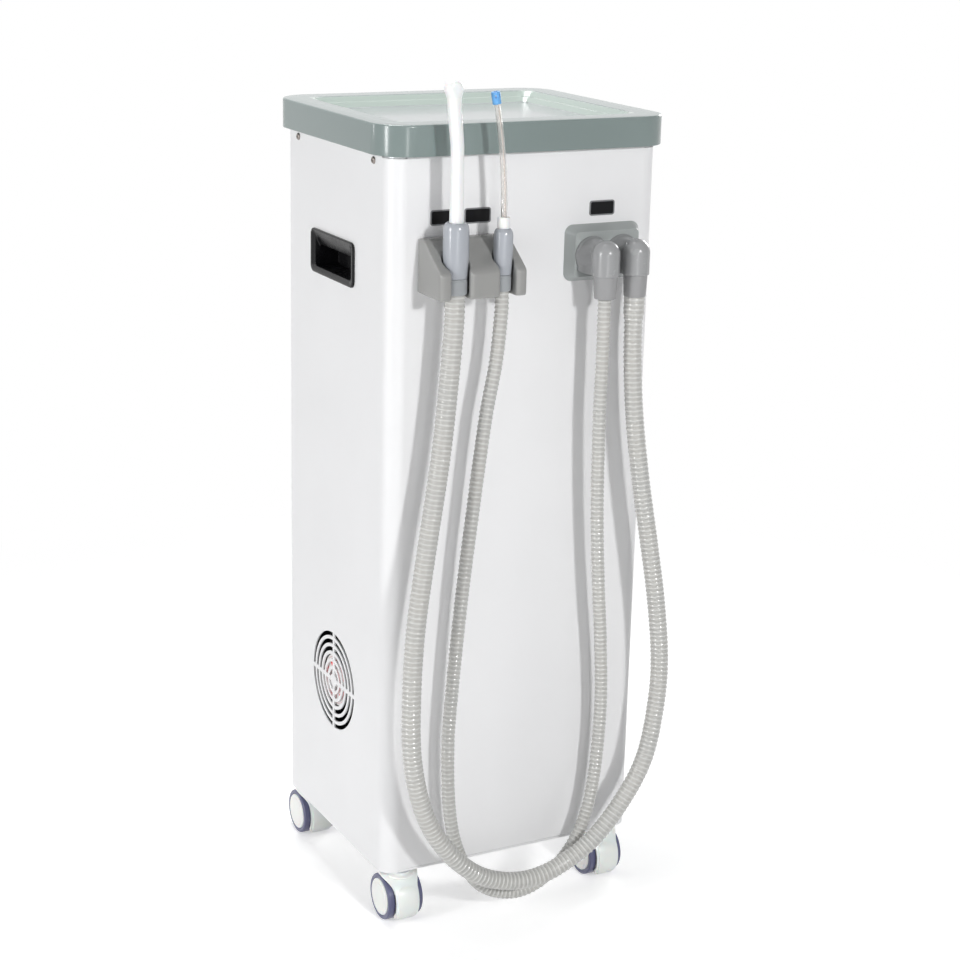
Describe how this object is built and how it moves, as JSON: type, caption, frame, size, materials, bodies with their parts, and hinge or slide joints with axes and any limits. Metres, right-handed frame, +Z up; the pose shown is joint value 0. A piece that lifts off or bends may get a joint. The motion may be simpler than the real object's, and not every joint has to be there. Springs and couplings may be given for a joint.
{
  "type": "portable dental suction unit",
  "caption": "Wheeled dental suction cabinet with a recessed tray top, handsets parked in a front holder, ribbed hoses to filter elbows, a side vent, carry handles and swivel casters.",
  "frame": {"origin": "centre of the unit's footprint on the floor, measured without its hoses", "axes": "+X to the right along the front, +Y from the front to the back, +Z up"},
  "size_m": [0.32, 0.3413, 0.8863],
  "materials": {
    "sheet_white": "fine powder coat",
    "zinc_steel": "zinc plated",
    "tray_grey": "gloss",
    "black_plastic": "satin",
    "fan_black": "matt",
    "switch_black": "gloss",
    "label_black": "gloss",
    "bright_steel": "bright",
    "holder_grey": "semi-gloss",
    "handset_grey": "gloss",
    "swivel_grey": "gloss",
    "tip_white": "satin",
    "ejector_clear": "clear",
    "ejector_blue": "gloss",
    "filter_grey": "semi-gloss",
    "strainer_white": "matt",
    "elbow_grey": "gloss",
    "cuff_grey": "satin",
    "hose_grey": "satin, slightly translucent",
    "pump_aluminium": "cast",
    "motor_paint": "painted",
    "tank_clear": "natural",
    "lid_grey": "matt",
    "float_orange": "matt",
    "pipe_rubber": "matt",
    "board_green": "satin",
    "stem_steel": "blackened",
    "caster_white": "semi-gloss",
    "caster_tread": "satin"
  },
  "bodies": {
    "cabinet": {"base_pan": "sheet_white", "cabinet_shell": "sheet_white", "rear_panel": "sheet_white", "top_frame": "zinc_steel", "tray_top": "tray_grey", "carry_handle_left": "black_plastic", "carry_handle_right": "black_plastic", "fan_frame": "fan_black", "power_inlet": "black_plastic", "label_plates": "label_black", "panel_screws": "bright_steel", "holder_bracket": "holder_grey", "filter_housing": "filter_grey", "filter_strainers": "strainer_white", "strong_elbow": "elbow_grey", "weak_elbow": "elbow_grey", "strong_hose_cuff": "cuff_grey", "weak_hose_cuff": "cuff_grey", "strong_hose": "hose_grey", "weak_hose": "hose_grey", "pump_housing": "pump_aluminium", "pump_motor": "motor_paint", "waste_tank": "tank_clear", "tank_lid": "lid_grey", "suction_pipes": "pipe_rubber", "exhaust_spigot": "black_plastic", "drain_spigot": "black_plastic", "control_board": "board_green", "caster_stems": "stem_steel"},
    "swivel_fl": {"caster_hood_fl": "caster_white", "caster_axle_fl": "bright_steel"},
    "wheel_fl_left": {"wheel_fl_left": "caster_tread"},
    "wheel_fl_right": {"wheel_fl_right": "caster_tread"},
    "swivel_fr": {"caster_hood_fr": "caster_white", "caster_axle_fr": "bright_steel"},
    "wheel_fr_left": {"wheel_fr_left": "caster_tread"},
    "wheel_fr_right": {"wheel_fr_right": "caster_tread"},
    "swivel_rl": {"caster_hood_rl": "caster_white", "caster_axle_rl": "bright_steel"},
    "wheel_rl_left": {"wheel_rl_left": "caster_tread"},
    "wheel_rl_right": {"wheel_rl_right": "caster_tread"},
    "swivel_rr": {"caster_hood_rr": "caster_white", "caster_axle_rr": "bright_steel"},
    "wheel_rr_left": {"wheel_rr_left": "caster_tread"},
    "wheel_rr_right": {"wheel_rr_right": "caster_tread"},
    "fan": {"fan_rotor": "fan_black"},
    "impeller": {"pump_impeller": "pump_aluminium"},
    "rocker": {"power_switch": "switch_black"},
    "float": {"tank_float": "float_orange"},
    "strong_handset": {"strong_handpiece": "handset_grey", "strong_swivel": "swivel_grey", "strong_tip": "tip_white"},
    "weak_handset": {"weak_handpiece": "handset_grey", "weak_swivel": "swivel_grey", "weak_tip_socket": "tip_white", "ejector_tube": "ejector_clear", "ejector_cap": "ejector_blue"}
  },
  "joints": [
    {"name": "caster_fl_swivel", "type": "hinge", "parent": "cabinet", "child": "swivel_fl", "pos_m": [-0.1225, -0.098, 0.04], "axis": [0, 0, 1], "continuous": true},
    {"name": "wheel_fl_left_roll", "type": "hinge", "parent": "swivel_fl", "child": "wheel_fl_left", "pos_m": [-0.1355, -0.09, 0.025], "axis": [1, 0, 0], "continuous": true},
    {"name": "wheel_fl_right_roll", "type": "hinge", "parent": "swivel_fl", "child": "wheel_fl_right", "pos_m": [-0.1095, -0.09, 0.025], "axis": [1, 0, 0], "continuous": true},
    {"name": "caster_fr_swivel", "type": "hinge", "parent": "cabinet", "child": "swivel_fr", "pos_m": [0.1225, -0.098, 0.04], "axis": [0, 0, 1], "continuous": true},
    {"name": "wheel_fr_left_roll", "type": "hinge", "parent": "swivel_fr", "child": "wheel_fr_left", "pos_m": [0.1095, -0.09, 0.025], "axis": [1, 0, 0], "continuous": true},
    {"name": "wheel_fr_right_roll", "type": "hinge", "parent": "swivel_fr", "child": "wheel_fr_right", "pos_m": [0.1355, -0.09, 0.025], "axis": [1, 0, 0], "continuous": true},
    {"name": "caster_rl_swivel", "type": "hinge", "parent": "cabinet", "child": "swivel_rl", "pos_m": [-0.1225, 0.13, 0.04], "axis": [0, 0, 1], "continuous": true},
    {"name": "wheel_rl_left_roll", "type": "hinge", "parent": "swivel_rl", "child": "wheel_rl_left", "pos_m": [-0.1355, 0.138, 0.025], "axis": [1, 0, 0], "continuous": true},
    {"name": "wheel_rl_right_roll", "type": "hinge", "parent": "swivel_rl", "child": "wheel_rl_right", "pos_m": [-0.1095, 0.138, 0.025], "axis": [1, 0, 0], "continuous": true},
    {"name": "caster_rr_swivel", "type": "hinge", "parent": "cabinet", "child": "swivel_rr", "pos_m": [0.1225, 0.13, 0.04], "axis": [0, 0, 1], "continuous": true},
    {"name": "wheel_rr_left_roll", "type": "hinge", "parent": "swivel_rr", "child": "wheel_rr_left", "pos_m": [0.1095, 0.138, 0.025], "axis": [1, 0, 0], "continuous": true},
    {"name": "wheel_rr_right_roll", "type": "hinge", "parent": "swivel_rr", "child": "wheel_rr_right", "pos_m": [0.1355, 0.138, 0.025], "axis": [1, 0, 0], "continuous": true},
    {"name": "fan_spin", "type": "hinge", "parent": "cabinet", "child": "fan", "pos_m": [-0.136, 0.016, 0.234], "axis": [1, 0, 0], "continuous": true},
    {"name": "impeller_spin", "type": "hinge", "parent": "cabinet", "child": "impeller", "pos_m": [-0.045, -0.06, 0.16], "axis": [0, 1, 0], "continuous": true},
    {"name": "power_rocker", "type": "hinge", "parent": "cabinet", "child": "rocker", "pos_m": [-0.095, 0.1455, 0.1625], "axis": [1, 0, 0], "range_deg": [-16, 0]},
    {"name": "float_rise", "type": "slide", "parent": "cabinet", "child": "float", "axis": [0, 0, 1], "range_m": [0, 0.038]},
    {"name": "strong_handset_lift", "type": "slide", "parent": "cabinet", "child": "strong_handset", "axis": [0, 0, 1], "range_m": [0, 0.08]},
    {"name": "weak_handset_lift", "type": "slide", "parent": "cabinet", "child": "weak_handset", "axis": [0, 0, 1], "range_m": [0, 0.08]}
  ]
}
